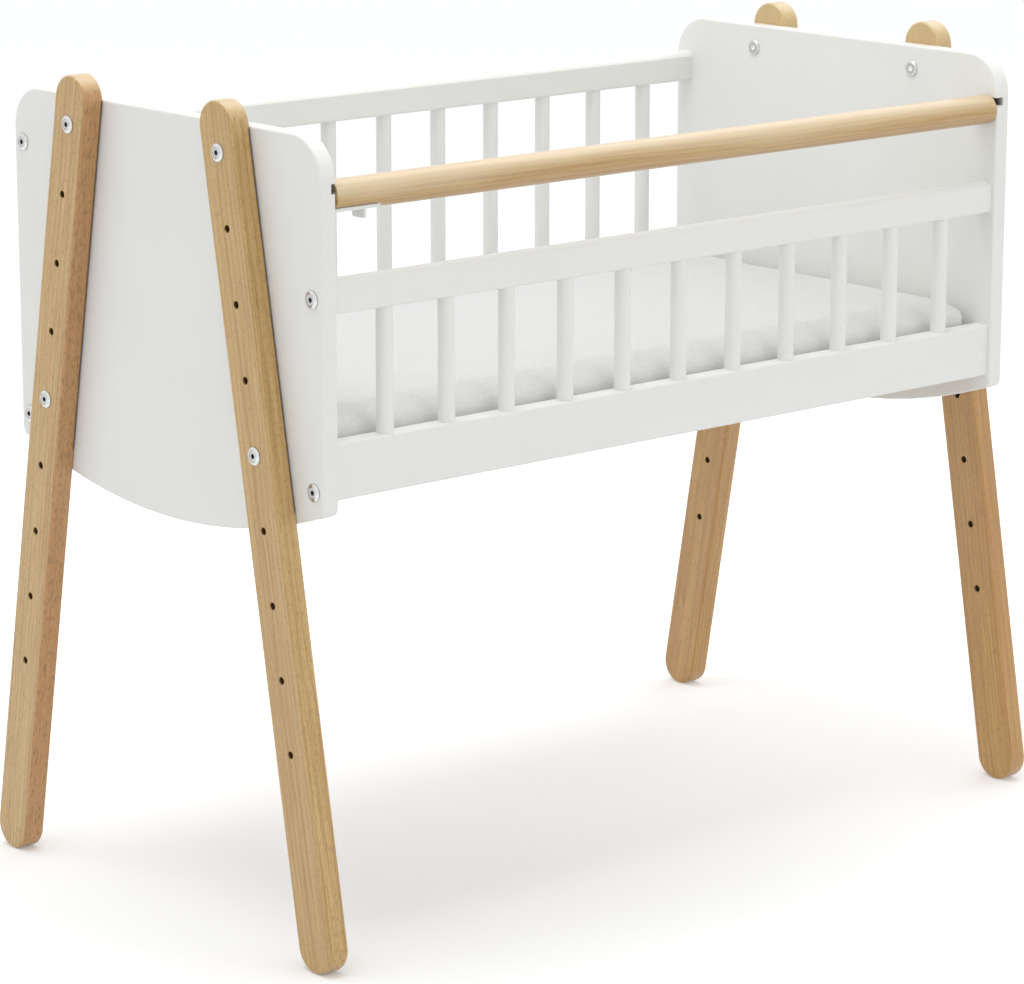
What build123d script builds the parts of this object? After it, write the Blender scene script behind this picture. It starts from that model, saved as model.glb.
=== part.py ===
# Co-sleeping cradle: a white box with slatted sides that hangs between four splayed beech legs.
# Millimetres. X runs along the cradle, -Y is the low side that faces the adult bed, +Z is up.
# The origin is on the floor, under the middle of the cradle.
import os
from math import cos, radians, sin, sqrt, tan

from build123d import *

os.makedirs("parts", exist_ok=True)

# Box
inner_length = 810
panel_thickness = 16.5
panel_width = 447
panel_height = 362.7
panel_low_point = 360.8
rocker_radius = 640
panel_top_corner = 38
panel_low_corner = 9
panel_edge_round = 2

# Legs
leg_width = 45
leg_thickness = 20.5
leg_edge_round = 2.5
leg_splay = 10
leg_bolt_drop = 22.7
leg_bolt_inset = 113.5
leg_above_bolt = 44.6
leg_hole_pitch = 64.8
leg_hole_count = 9
leg_bolt_step_count = 4
leg_hole_diameter = 7

# Rails and slats
rail_thickness = 18
rail_recess = 4
lower_rail_rise = 50.9
lower_rail_height = 50
rail_edge_round = 2.5
upper_rail_height = 30.3
upper_rail_crown = 10
front_upper_rail_drop = 151.4
back_upper_rail_drop = 65.2
slat_diameter = 15
slat_count = 11
slat_seat = 12
lower_bolt_rise = 8.5
upper_bolt_rise = 14
dowel_rise = 36

# Base and mattress
batten_width = 16
batten_height = 13
batten_rise = 0.5
batten_end_gap = 3
batten_round = 1
lath_count = 8
lath_width = 60
lath_thickness = 8
lath_margin = 25
lath_end_gap = 0.5
lath_round = 2
mattress_end_gap = 2.5
mattress_side_gap = 6
mattress_thickness = 49
mattress_corner = 12
mattress_edge_round = 6
mattress_crown = 1.5
mattress_waist = 0.8
mattress_gap = 0.3

# Bar that closes the low side
bar_diameter = 28
bar_drop = 51.5
bar_front_overhang = 1.5
bar_end_gap = 1.2
bar_end_round = 1
tongue_width = 10
tongue_height = 6.8
tongue_rise = 7.8
tongue_setback = 2
left_groove_depth = 5
right_groove_depth = 8
groove_clearance = 0.2
tongue_end_gap = 0.6

# Latch under the bar's left end
recess_length = 46
recess_flat = 8.6
recess_ramp = 12
latch_width = 18
latch_thickness = 4.3
latch_clearance = 0.1
latch_past_recess = 2.2
latch_bevel_length = 3
latch_bevel_height = 1.6
latch_relief_width = 2.5
latch_relief_depth = 1.3
latch_tip_gap = 0.8
latch_tip_corner = 3
latch_travel = 7
pocket_clearance = 0.5
pocket_end_gap = 1.8
fin_setback = 34.6
fin_thickness = 2.6
fin_width = 16
fin_drop = 8.2
fin_corner = 2
latch_web = 1.4
latch_slot_clearance = 0.2
latch_screw_diameter = 3
latch_screw_head = 6
latch_screw_head_height = 1.1
latch_screw_head_clearance = 0.3
latch_screw_grip = 10
latch_screw_setback = 8
latch_screw_spacing = 14

# Fastenings
bolt_diameter = 6
bolt_clearance = 0.3
thread_clearance = 0.03
bolt_head_diameter = 16
bolt_head_height = 2.4
bolt_head_rim = 0.7
bolt_head_bulge = 0.35
bolt_head_dish = 9
bolt_dish_depth = 0.5
bolt_tip_chamfer = 0.8
bolt_key_size = 4
bolt_key_depth = 3
sleeve_diameter = 9
sleeve_length = 13
sleeve_bore_end = 1.5
sleeve_clearance = 0.1
sleeve_head_diameter = 15.5
sleeve_head_height = 1.8
sleeve_head_round = 1
sleeve_key_depth = 1.2
leg_bolt_end_gap = 1.5
barrel_diameter = 10
barrel_length = 13
barrel_setback = 32
barrel_clearance = 0.05
barrel_slot_width = 1.2
barrel_slot_depth = 1
rail_bolt_past_barrel = 8
rail_bolt_hole_end = 4
dowel_diameter = 8
dowel_in_panel = 10
dowel_in_rail = 20
glue_clearance = 0.05
dowel_end_gap = 0.2
dowel_chamfer = 0.8
wood_screw_diameter = 4
wood_screw_head = 7.6
batten_screw_length = 28
batten_screw_margin = 105
batten_screw_count = 4
lath_screw_diameter = 3.5
lath_screw_head = 6.6
lath_screw_length = 18
lath_screw_inset = 8
screw_clearance = 0.03
countersink_angle = 90

# Places worked out from the sizes above
inner_half = inner_length / 2
panel_outer = inner_half + panel_thickness
leg_outer = panel_outer + leg_thickness
panel_half_width = panel_width / 2
panel_top = panel_low_point + panel_height
leg_top_bolt_height = panel_top - leg_bolt_drop
leg_top_bolt_y = panel_half_width - leg_bolt_inset
rail_line = panel_half_width - rail_recess - rail_thickness / 2
rail_inner = rail_line - rail_thickness / 2
lower_rail_bottom = panel_low_point + lower_rail_rise
lower_rail_top = lower_rail_bottom + lower_rail_height
lower_bolt_height = lower_rail_bottom + lower_bolt_rise
dowel_height = lower_rail_bottom + dowel_rise
slat_pitch = (inner_length - slat_count * slat_diameter) / (slat_count + 1) + slat_diameter
batten_bottom = lower_rail_bottom + batten_rise
batten_top = batten_bottom + batten_height
lath_top = batten_top + lath_thickness
lath_half_length = rail_inner - lath_end_gap
lath_screw_y = lath_half_length - lath_screw_inset
lath_pitch = (inner_length - 2 * lath_margin - lath_width) / (lath_count - 1)
batten_screw_pitch = (inner_length - 2 * batten_screw_margin) / (batten_screw_count - 1)
mattress_bottom = lath_top + mattress_gap
bar_radius = bar_diameter / 2
bar_height = panel_top - bar_drop
bar_y = -panel_half_width - bar_front_overhang + bar_radius
bar_half_length = inner_half - bar_end_gap
tongue_height_above_floor = bar_height + tongue_rise
tongue_y = bar_y + tongue_setback
tongue_straight = tongue_width - tongue_height
recess_top = bar_height - recess_flat
recess_end = recess_length - bar_half_length
latch_top = recess_top - latch_clearance
latch_bottom = latch_top - latch_thickness
latch_tip = latch_tip_gap - inner_half
latch_end = recess_end + latch_past_recess
latch_screw_places = [
    (latch_screw_setback - inner_half, bar_y),
    (latch_screw_setback + latch_screw_spacing - inner_half, bar_y),
]
groove_depths = {-1: left_groove_depth, 1: right_groove_depth}
end_names = {-1: "left", 1: "right"}
side_names = {-1: "front", 1: "back"}
upper_rails = {-1: panel_top - front_upper_rail_drop, 1: panel_top - back_upper_rail_drop}


def slat_places():
    """X of each slat, the same gap between any two and at both ends."""
    return [(n - (slat_count - 1) / 2) * slat_pitch for n in range(slat_count)]


def leg_plane(end, side, x):
    """Plane at x, normal along X towards the leg's outside, origin at its top bolt, y up the leg."""
    lean = -side * sin(radians(leg_splay))
    upright = cos(radians(leg_splay))
    return Plane(
        origin=(end * x, side * leg_top_bolt_y, leg_top_bolt_height),
        x_dir=(0, end * upright, -end * lean),
        z_dir=(end, 0, 0),
    )


def leg_bolt_places():
    """The two holes of a leg that hold bolts, on the leg's own plane."""
    return [(0, 0), (0, -leg_bolt_step_count * leg_hole_pitch)]


def rail_bolt_places():
    """The four rail bolts of one end panel as (y, z)."""
    places = []
    for side in (-1, 1):
        places.append((side * rail_line, upper_rails[side] + upper_bolt_rise))
        places.append((side * rail_line, lower_bolt_height))
    return places


def panel_face(end, depth=0):
    """Y-Z plane of an end panel's inner face, or that far into the board."""
    return Plane.YZ.offset(end * (inner_half + depth))


# End panels: straight top, rounded corners, rocker curve along the bottom
for end in (-1, 1):
    with BuildPart() as end_panel:
        with BuildSketch(panel_face(end)):
            with Locations((0, (panel_top + panel_low_point) / 2)):
                Rectangle(panel_width, panel_top - panel_low_point)
            with Locations((0, panel_low_point + rocker_radius)):
                Circle(rocker_radius, mode=Mode.INTERSECT)
            fillet(vertices().sort_by(Axis.Y)[-2:], panel_top_corner)
            fillet(vertices().sort_by(Axis.Y)[:2], panel_low_corner)
        extrude(amount=end * panel_thickness)
        fillet(end_panel.faces().filter_by(Axis.X).edges(), panel_edge_round)
        # Groove for the bar's tongue, open at the front edge and closed behind the tongue
        groove_height = tongue_height + 2 * groove_clearance
        with BuildSketch(panel_face(end)):
            rear = (tongue_y + tongue_straight / 2, tongue_height_above_floor)
            front = (-panel_half_width - groove_height, tongue_height_above_floor)
            with Locations(((rear[0] + front[0]) / 2, rear[1])):
                SlotCenterToCenter(rear[0] - front[0], groove_height)
        extrude(amount=end * groove_depths[end], mode=Mode.SUBTRACT)
        # Holes of the leg bolts, wide enough for their sleeve nuts
        for side in (-1, 1):
            with BuildSketch(leg_plane(end, side, inner_half)):
                with Locations(*leg_bolt_places()):
                    Circle(sleeve_diameter / 2 + sleeve_clearance)
            extrude(amount=panel_thickness, mode=Mode.SUBTRACT)
        # Holes of the rail bolts
        with BuildSketch(panel_face(end)):
            with Locations(*rail_bolt_places()):
                Circle(bolt_diameter / 2 + bolt_clearance)
        extrude(amount=end * panel_thickness, mode=Mode.SUBTRACT)
        # Blind holes of the wooden dowels
        with BuildSketch(panel_face(end)):
            with Locations((-rail_line, dowel_height), (rail_line, dowel_height)):
                Circle(dowel_diameter / 2 + glue_clearance)
        extrude(amount=end * dowel_in_panel, mode=Mode.SUBTRACT)
        if end < 0:
            # Pocket that takes the latch's tip
            with BuildSketch(panel_face(end)):
                with Locations((bar_y, latch_top - latch_thickness / 2)):
                    Rectangle(latch_width + 2 * pocket_clearance, latch_thickness + 2 * pocket_clearance)
            extrude(amount=end * (latch_travel - latch_tip_gap + pocket_end_gap), mode=Mode.SUBTRACT)
    end_panel.part.label = f"{end_names[end]}_end_panel"
    export_step(end_panel.part, f"parts/{end_names[end]}_end_panel.step")

# Legs: pill-ended beech bars on the panels' outer faces, standing on their round ends
foot_centre = (leg_top_bolt_height - leg_width / 2) / cos(radians(leg_splay))
head_centre = leg_above_bolt - leg_width / 2
for end in (-1, 1):
    for side in (-1, 1):
        with BuildPart() as leg:
            with BuildSketch(leg_plane(end, side, panel_outer)):
                with Locations((0, (head_centre - foot_centre) / 2)):
                    SlotCenterToCenter(head_centre + foot_centre, leg_width, rotation=90)
            extrude(amount=leg_thickness)
            fillet(leg.faces().filter_by(Axis.X).edges(), leg_edge_round)
            with BuildSketch(leg_plane(end, side, panel_outer)):
                with Locations(*[(0, -n * leg_hole_pitch) for n in range(leg_hole_count)]):
                    Circle(leg_hole_diameter / 2)
            extrude(amount=leg_thickness, mode=Mode.SUBTRACT)
        leg.part.label = f"{side_names[side]}_{end_names[end]}_leg"
        export_step(leg.part, f"parts/{side_names[side]}_{end_names[end]}_leg.step")


def bore_rail_ends(side, bolt_height, rail_bottom):
    """In the rail being built: a bolt hole in each end and a barrel nut's hole from below."""
    bolt_hole_depth = barrel_setback + rail_bolt_past_barrel + rail_bolt_hole_end
    for end in (-1, 1):
        with BuildSketch(Plane.YZ.offset(end * inner_half)) as bolt_hole:
            with Locations((side * rail_line, bolt_height)):
                Circle(bolt_diameter / 2 + bolt_clearance)
        extrude(bolt_hole.sketch, amount=-end * bolt_hole_depth, mode=Mode.SUBTRACT)
    with BuildSketch(Plane.XY.offset(rail_bottom)) as barrel_holes:
        with Locations(*[(end * (inner_half - barrel_setback), side * rail_line) for end in (-1, 1)]):
            Circle(barrel_diameter / 2 + barrel_clearance)
    barrel_hole_depth = bolt_height - rail_bottom + barrel_length / 2 + barrel_clearance
    extrude(barrel_holes.sketch, amount=barrel_hole_depth, mode=Mode.SUBTRACT)


def bore_slat_holes(side, face_height, depth):
    """In the rail being built: the blind holes of the slats, upwards or downwards from a face."""
    with BuildSketch(Plane.XY.offset(face_height)) as slat_holes:
        with Locations(*[(x, side * rail_line) for x in slat_places()]):
            Circle(slat_diameter / 2 + glue_clearance)
    extrude(slat_holes.sketch, amount=depth, mode=Mode.SUBTRACT)


# Lower rails: deep and flat topped
for side in (-1, 1):
    with BuildPart() as lower_rail:
        with BuildSketch(Plane.YZ.offset(-inner_half)):
            with Locations((side * rail_line, lower_rail_bottom + lower_rail_height / 2)):
                RectangleRounded(rail_thickness, lower_rail_height, rail_edge_round)
        extrude(amount=inner_length)
        bore_rail_ends(side, lower_bolt_height, lower_rail_bottom)
        bore_slat_holes(side, lower_rail_top, -slat_seat)
        for end in (-1, 1):
            with BuildSketch(Plane.YZ.offset(end * inner_half)):
                with Locations((side * rail_line, dowel_height)):
                    Circle(dowel_diameter / 2 + glue_clearance)
            extrude(amount=-end * dowel_in_rail, mode=Mode.SUBTRACT)
        # Pilot holes of the screws that hold the batten
        with BuildSketch(Plane.XZ.offset(-side * rail_inner)):
            with Locations((0, batten_bottom + batten_height / 2)):
                with GridLocations(batten_screw_pitch, 1, batten_screw_count, 1):
                    Circle(wood_screw_diameter / 2 + screw_clearance)
        extrude(amount=-side * (batten_screw_length - batten_width), mode=Mode.SUBTRACT)
    lower_rail.part.label = f"{side_names[side]}_lower_rail"
    export_step(lower_rail.part, f"parts/{side_names[side]}_lower_rail.step")

# Upper rails: a crowned top for the hand, lower at the front than at the back
crown_rise = upper_rail_crown - sqrt(upper_rail_crown**2 - (rail_thickness / 2) ** 2)
for side, bottom in upper_rails.items():
    with BuildPart() as upper_rail:
        with BuildSketch(Plane.YZ.offset(-inner_half)):
            with BuildLine():
                near = side * rail_line - rail_thickness / 2
                far = side * rail_line + rail_thickness / 2
                shoulder = bottom + upper_rail_height - crown_rise
                Polyline((near, shoulder), (near, bottom), (far, bottom), (far, shoulder))
                ThreePointArc(
                    (near, shoulder),
                    (side * rail_line, bottom + upper_rail_height),
                    (far, shoulder),
                )
            make_face()
            fillet(vertices().sort_by(Axis.Y)[:2], rail_edge_round)
        extrude(amount=inner_length)
        bore_rail_ends(side, bottom + upper_bolt_rise, bottom)
        bore_slat_holes(side, bottom, slat_seat)
    upper_rail.part.label = f"{side_names[side]}_upper_rail"
    export_step(upper_rail.part, f"parts/{side_names[side]}_upper_rail.step")

# Slats: round rods glued into the rails of their side
for side, bottom in upper_rails.items():
    for n, x in enumerate(slat_places(), start=1):
        with BuildPart() as slat:
            with BuildSketch(Plane.XY.offset(lower_rail_top - slat_seat)):
                with Locations((x, side * rail_line)):
                    Circle(slat_diameter / 2)
            extrude(amount=bottom - lower_rail_top + 2 * slat_seat)
        slat.part.label = f"{side_names[side]}_slat_{n}"
        export_step(slat.part, f"parts/{side_names[side]}_slat_{n}.step")


def lath_places():
    """X of each lath of the base."""
    return [(n - (lath_count - 1) / 2) * lath_pitch for n in range(lath_count)]


def sunk_head_depth(head, shank):
    """Height of a countersunk head between its two diameters."""
    return (head - shank) / 2 / tan(radians(countersink_angle / 2))


def turned(plane, points):
    """In the part being built: a solid turned about the plane's normal from (radius, height) points."""
    section = Plane(origin=plane.origin, x_dir=plane.x_dir, z_dir=-plane.y_dir)
    with BuildSketch(section) as profile:
        with BuildLine():
            Polyline(*points, close=True)
        make_face()
    revolve(profile.sketch, axis=Axis(plane.origin, plane.z_dir))


def countersunk_screw(plane, head, shank, length):
    """In the part being built: a screw with its flat head in the plane, driven against its normal."""
    cone = sunk_head_depth(head, shank)
    point = shank / 2
    turned(plane, [(0, 0), (head / 2, 0), (shank / 2, -cone), (shank / 2, point - length), (0, -length)])


# Base battens: strips on the lower rails' inner faces
batten_y = rail_inner - batten_width / 2
batten_length = inner_length - 2 * batten_end_gap
for side in (-1, 1):
    with BuildPart() as batten:
        with BuildSketch(Plane.YZ.offset(-batten_length / 2)):
            with Locations((side * batten_y, (batten_bottom + batten_top) / 2)):
                RectangleRounded(batten_width, batten_height, batten_round)
        extrude(amount=batten_length)
        face = Plane(
            origin=(0, side * (rail_inner - batten_width), batten_bottom + batten_height / 2),
            x_dir=(1, 0, 0),
            z_dir=(0, -side, 0),
        )
        with Locations(face):
            with GridLocations(batten_screw_pitch, 1, batten_screw_count, 1):
                CounterSinkHole(
                    wood_screw_diameter / 2 + screw_clearance,
                    wood_screw_head / 2 + screw_clearance,
                    batten_width,
                    countersink_angle,
                )
        # Pilot holes of the screws that hold the laths
        with BuildSketch(Plane.XY.offset(batten_top)):
            with Locations(*[(x, side * lath_screw_y) for x in lath_places()]):
                Circle(lath_screw_diameter / 2 + screw_clearance)
        extrude(amount=lath_thickness - lath_screw_length - screw_clearance, mode=Mode.SUBTRACT)
    batten.part.label = f"{side_names[side]}_base_batten"
    export_step(batten.part, f"parts/{side_names[side]}_base_batten.step")

# Base laths: across the cradle, their ends on the battens
for n, x in enumerate(lath_places(), start=1):
    with BuildPart() as lath:
        with BuildSketch(Plane.XZ.offset(-lath_half_length)):
            with Locations((x, (batten_top + lath_top) / 2)):
                RectangleRounded(lath_width, lath_thickness, lath_round)
        extrude(amount=2 * lath_half_length)
        with Locations((x, -lath_screw_y, lath_top), (x, lath_screw_y, lath_top)):
            CounterSinkHole(
                lath_screw_diameter / 2 + screw_clearance,
                lath_screw_head / 2 + screw_clearance,
                lath_thickness,
                countersink_angle,
            )
    lath.part.label = f"base_lath_{n}"
    export_step(lath.part, f"parts/base_lath_{n}.step")

# Mattress: a crowned top and bottom, sides drawn in at mid height, and rounded edges and corners
with BuildPart() as mattress:
    half_width = rail_inner - mattress_side_gap
    half_length = inner_half - mattress_end_gap
    mattress_top = mattress_bottom + mattress_thickness
    mattress_middle = mattress_bottom + mattress_thickness / 2
    with BuildSketch(Plane.YZ.offset(-half_length)):
        with BuildLine():
            ThreePointArc(
                (-half_width, mattress_top - mattress_crown),
                (0, mattress_top),
                (half_width, mattress_top - mattress_crown),
            )
            ThreePointArc(
                (half_width, mattress_top - mattress_crown),
                (half_width - mattress_waist, mattress_middle),
                (half_width, mattress_bottom),
            )
            Line((half_width, mattress_bottom), (-half_width, mattress_bottom))
            ThreePointArc(
                (-half_width, mattress_bottom),
                (-half_width + mattress_waist, mattress_middle),
                (-half_width, mattress_top - mattress_crown),
            )
        make_face()
    extrude(amount=2 * half_length)
    with BuildSketch(Plane.XZ.offset(-half_width)):
        with BuildLine():
            Line((half_length, mattress_bottom), (-half_length, mattress_bottom))
            ThreePointArc(
                (-half_length, mattress_bottom),
                (-half_length + mattress_waist, mattress_middle),
                (-half_length, mattress_top),
            )
            Line((-half_length, mattress_top), (half_length, mattress_top))
            ThreePointArc(
                (half_length, mattress_top),
                (half_length - mattress_waist, mattress_middle),
                (half_length, mattress_bottom),
            )
        make_face()
    extrude(amount=2 * half_width, mode=Mode.INTERSECT)
    upright = [edge for edge in mattress.edges() if edge.bounding_box().size.Z > mattress_thickness / 2]
    fillet(upright, mattress_corner)
    fillet(mattress.faces().sort_by(Axis.Z)[-1].edges(), mattress_edge_round)
    fillet(mattress.faces().sort_by(Axis.Z)[0].edges(), mattress_edge_round)
mattress.part.label = "mattress"
export_step(mattress.part, "parts/mattress.step")

# Top bar: a round beech bar with a milled tongue on each end and a recess for the latch
with BuildPart() as top_bar:
    with BuildSketch(Plane.YZ.offset(-bar_half_length)):
        with Locations((bar_y, bar_height)):
            Circle(bar_radius)
    extrude(amount=2 * bar_half_length)
    fillet(top_bar.faces().filter_by(Axis.X).edges(), bar_end_round)
    for end in (-1, 1):
        with BuildSketch(Plane.YZ.offset(end * (bar_half_length - bar_end_round))):
            with Locations((tongue_y, tongue_height_above_floor)):
                SlotCenterToCenter(tongue_straight, tongue_height)
        tongue_reach = bar_end_round + bar_end_gap + groove_depths[end] - tongue_end_gap
        extrude(amount=end * tongue_reach)
    # Recess for the latch under the left end, running out in a ramp
    with BuildSketch(Plane.XZ.offset(-bar_y)):
        with BuildLine():
            Polyline(
                (-bar_half_length - bar_end_gap / 2, recess_top),
                (recess_end, recess_top),
                (recess_end + recess_ramp, bar_height - bar_radius),
                (recess_end + recess_ramp, bar_height - 2 * bar_radius),
                (-bar_half_length - bar_end_gap / 2, bar_height - 2 * bar_radius),
                close=True,
            )
        make_face()
    extrude(amount=bar_radius, both=True, mode=Mode.SUBTRACT)
    # Pilot holes of the latch's screws
    with BuildSketch(Plane.XY.offset(recess_top)):
        with Locations(*latch_screw_places):
            Circle(latch_screw_diameter / 2 + screw_clearance)
    extrude(amount=latch_screw_grip + screw_clearance, mode=Mode.SUBTRACT)
top_bar.part.label = "top_bar"
export_step(top_bar.part, "parts/top_bar.step")

# Latch: a plastic slide with a finger fin, held under the bar by two screws through its slots
with BuildPart() as bar_latch:
    latch_length = latch_end - latch_tip
    latch_middle = (latch_end + latch_tip) / 2
    with BuildSketch(Plane.XY.offset(latch_bottom)):
        with Locations((latch_middle, bar_y)):
            Rectangle(latch_length, latch_width)
        fillet(vertices().sort_by(Axis.X)[:2], latch_tip_corner)
    extrude(amount=latch_thickness)
    # Both upper edges are set down, so that only the middle rubs on the bar
    relief_y = (latch_width - latch_relief_width) / 2
    with BuildSketch(Plane.XY.offset(latch_top)):
        with Locations((latch_middle, bar_y - relief_y), (latch_middle, bar_y + relief_y)):
            Rectangle(latch_length, latch_relief_width)
    extrude(amount=-latch_relief_depth, mode=Mode.SUBTRACT)
    # The end is bevelled to lie against the recess's ramp
    with BuildSketch(Plane.XZ.offset(-bar_y)):
        with BuildLine():
            Polyline(
                (latch_end - latch_bevel_length, latch_top),
                (latch_end, latch_top),
                (latch_end, latch_top - latch_bevel_height),
                close=True,
            )
        make_face()
    extrude(amount=latch_width / 2, both=True, mode=Mode.SUBTRACT)
    with BuildSketch(Plane.YZ.offset(fin_setback - inner_half - fin_thickness / 2)):
        with Locations((bar_y, latch_bottom - fin_drop / 2)):
            Rectangle(fin_width, fin_drop)
        fillet(vertices().sort_by(Axis.Y)[:2], fin_corner)
    extrude(amount=fin_thickness)
    # Slots for the screws, and the trough in which their heads run
    slot_places = [(x + latch_travel / 2, y) for x, y in latch_screw_places]
    with BuildSketch(Plane.XY.offset(latch_bottom)):
        with Locations(*slot_places):
            SlotCenterToCenter(latch_travel, latch_screw_diameter + 2 * latch_slot_clearance)
    extrude(amount=latch_thickness, mode=Mode.SUBTRACT)
    trough_length = latch_travel + latch_screw_spacing
    with BuildSketch(Plane.XY.offset(latch_bottom)):
        with Locations((latch_screw_places[0][0] + trough_length / 2, bar_y)):
            SlotCenterToCenter(trough_length, latch_screw_head + 2 * latch_screw_head_clearance)
    extrude(amount=latch_thickness - latch_web, mode=Mode.SUBTRACT)
bar_latch.part.label = "bar_latch"
export_step(bar_latch.part, "parts/bar_latch.step")

# Screws on which the latch slides
with BuildPart() as latch_screws:
    head_top = latch_top - latch_web - latch_clearance
    for x, y in latch_screw_places:
        shank_top = recess_top + latch_screw_grip - head_top
        turned(
            Plane(origin=(x, y, head_top), x_dir=(1, 0, 0), z_dir=(0, 0, 1)),
            [
                (0, -latch_screw_head_height),
                (latch_screw_head / 2, -latch_screw_head_height),
                (latch_screw_head / 2, 0),
                (latch_screw_diameter / 2, 0),
                (latch_screw_diameter / 2, shank_top - latch_screw_diameter / 2),
                (0, shank_top),
            ],
        )
latch_screws.part.label = "latch_screws"
export_step(latch_screws.part, "parts/latch_screws.step")


def furniture_bolt(plane, length):
    """In the part being built: a bolt with a wide flat head on the plane, driven against its normal."""
    section = Plane(origin=plane.origin, x_dir=plane.x_dir, z_dir=-plane.y_dir)
    head = bolt_head_diameter / 2
    shank = bolt_diameter / 2
    ridge = bolt_head_dish / 2 + bolt_dish_depth
    dish_height = bolt_head_height - bolt_dish_depth
    with BuildSketch(section) as profile:
        with BuildLine():
            Polyline(
                (head, bolt_head_rim),
                (head, 0),
                (shank, 0),
                (shank, bolt_tip_chamfer - length),
                (shank - bolt_tip_chamfer, -length),
                (0, -length),
                (0, dish_height),
                (bolt_head_dish / 2, dish_height),
                (ridge, bolt_head_height),
            )
            SagittaArc((ridge, bolt_head_height), (head, bolt_head_rim), -bolt_head_bulge)
        make_face()
    revolve(profile.sketch, axis=Axis(plane.origin, plane.z_dir))
    with BuildSketch(plane.offset(dish_height)) as key:
        RegularPolygon(bolt_key_size / 2, 6, major_radius=False)
    extrude(key.sketch, amount=-bolt_key_depth, mode=Mode.SUBTRACT)


def sleeve_nut(plane):
    """In the part being built: a threaded sleeve with a flat head on the plane."""
    bore = bolt_diameter / 2 + thread_clearance
    turned(
        plane,
        [
            (0, sleeve_head_height),
            (sleeve_head_diameter / 2 - sleeve_head_round, sleeve_head_height),
            (sleeve_head_diameter / 2, sleeve_head_height - sleeve_head_round),
            (sleeve_head_diameter / 2, 0),
            (sleeve_diameter / 2, 0),
            (sleeve_diameter / 2, -sleeve_length),
            (bore, -sleeve_length),
            (bore, -sleeve_bore_end),
            (0, -sleeve_bore_end),
        ],
    )
    with BuildSketch(plane.offset(sleeve_head_height)) as key:
        RegularPolygon(bolt_key_size / 2, 6, major_radius=False)
    extrude(key.sketch, amount=-sleeve_key_depth, mode=Mode.SUBTRACT)


def at_leg_bolts(end, x, inward):
    """Planes at x on the axes of the four leg bolts of one end, facing outwards or inwards."""
    planes = []
    for side in (-1, 1):
        leg = leg_plane(end, side, x)
        for place in leg_bolt_places():
            centre = leg.from_local_coords(Vector(*place))
            facing = (-end if inward else end, 0, 0)
            planes.append(Plane(origin=centre, x_dir=(0, 1, 0), z_dir=facing))
    return planes


# Leg bolts and their sleeve nuts, and the rail bolts: four of each at either end
leg_bolt_length = leg_thickness + panel_thickness - sleeve_bore_end - leg_bolt_end_gap
rail_bolt_length = panel_thickness + barrel_setback + rail_bolt_past_barrel
for end in (-1, 1):
    with BuildPart() as leg_bolts:
        for plane in at_leg_bolts(end, leg_outer, inward=False):
            furniture_bolt(plane, leg_bolt_length)
    leg_bolts.part.label = f"{end_names[end]}_leg_bolts"
    export_step(leg_bolts.part, f"parts/{end_names[end]}_leg_bolts.step")

    with BuildPart() as sleeve_nuts:
        for plane in at_leg_bolts(end, inner_half, inward=True):
            sleeve_nut(plane)
    sleeve_nuts.part.label = f"{end_names[end]}_leg_sleeve_nuts"
    export_step(sleeve_nuts.part, f"parts/{end_names[end]}_leg_sleeve_nuts.step")

    with BuildPart() as rail_bolts:
        for y, z in rail_bolt_places():
            plane = Plane(origin=(end * panel_outer, y, z), x_dir=(0, 1, 0), z_dir=(end, 0, 0))
            furniture_bolt(plane, rail_bolt_length)
    rail_bolts.part.label = f"{end_names[end]}_rail_bolts"
    export_step(rail_bolts.part, f"parts/{end_names[end]}_rail_bolts.step")

# Barrel nuts: upright in the rail ends, cross drilled for the bolts, slotted below for a screwdriver
with BuildPart() as rail_barrel_nuts:
    for end in (-1, 1):
        for y, z in rail_bolt_places():
            barrel_x = end * (inner_half - barrel_setback)
            with BuildSketch(Plane.XY.offset(z - barrel_length / 2)):
                with Locations((barrel_x, y)):
                    Circle(barrel_diameter / 2)
            extrude(amount=barrel_length)
            with BuildSketch(Plane.XY.offset(z - barrel_length / 2)):
                with Locations((barrel_x, y)):
                    Rectangle(barrel_diameter, barrel_slot_width)
            extrude(amount=barrel_slot_depth, mode=Mode.SUBTRACT)
            with BuildSketch(Plane.YZ.offset(barrel_x - barrel_diameter / 2)):
                with Locations((y, z)):
                    Circle(bolt_diameter / 2 + thread_clearance)
            extrude(amount=barrel_diameter, mode=Mode.SUBTRACT)
rail_barrel_nuts.part.label = "rail_barrel_nuts"
export_step(rail_barrel_nuts.part, "parts/rail_barrel_nuts.step")

# Wooden dowels between the lower rails and the panels
dowel_length = dowel_in_panel + dowel_in_rail - 2 * dowel_end_gap
with BuildPart() as rail_dowels:
    for end in (-1, 1):
        for side in (-1, 1):
            with BuildSketch(Plane.YZ.offset(end * (inner_half + dowel_in_panel - dowel_end_gap))):
                with Locations((side * rail_line, dowel_height)):
                    Circle(dowel_diameter / 2)
            extrude(amount=-end * dowel_length)
    chamfer(rail_dowels.edges().filter_by(GeomType.CIRCLE), dowel_chamfer)
rail_dowels.part.label = "rail_dowels"
export_step(rail_dowels.part, "parts/rail_dowels.step")

# Screws that hold the battens to the lower rails
with BuildPart() as batten_screws:
    for side in (-1, 1):
        for n in range(batten_screw_count):
            place = (
                (n - (batten_screw_count - 1) / 2) * batten_screw_pitch,
                side * (rail_inner - batten_width),
                batten_bottom + batten_height / 2,
            )
            plane = Plane(origin=place, x_dir=(1, 0, 0), z_dir=(0, -side, 0))
            countersunk_screw(plane, wood_screw_head, wood_screw_diameter, batten_screw_length)
batten_screws.part.label = "batten_screws"
export_step(batten_screws.part, "parts/batten_screws.step")

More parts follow.
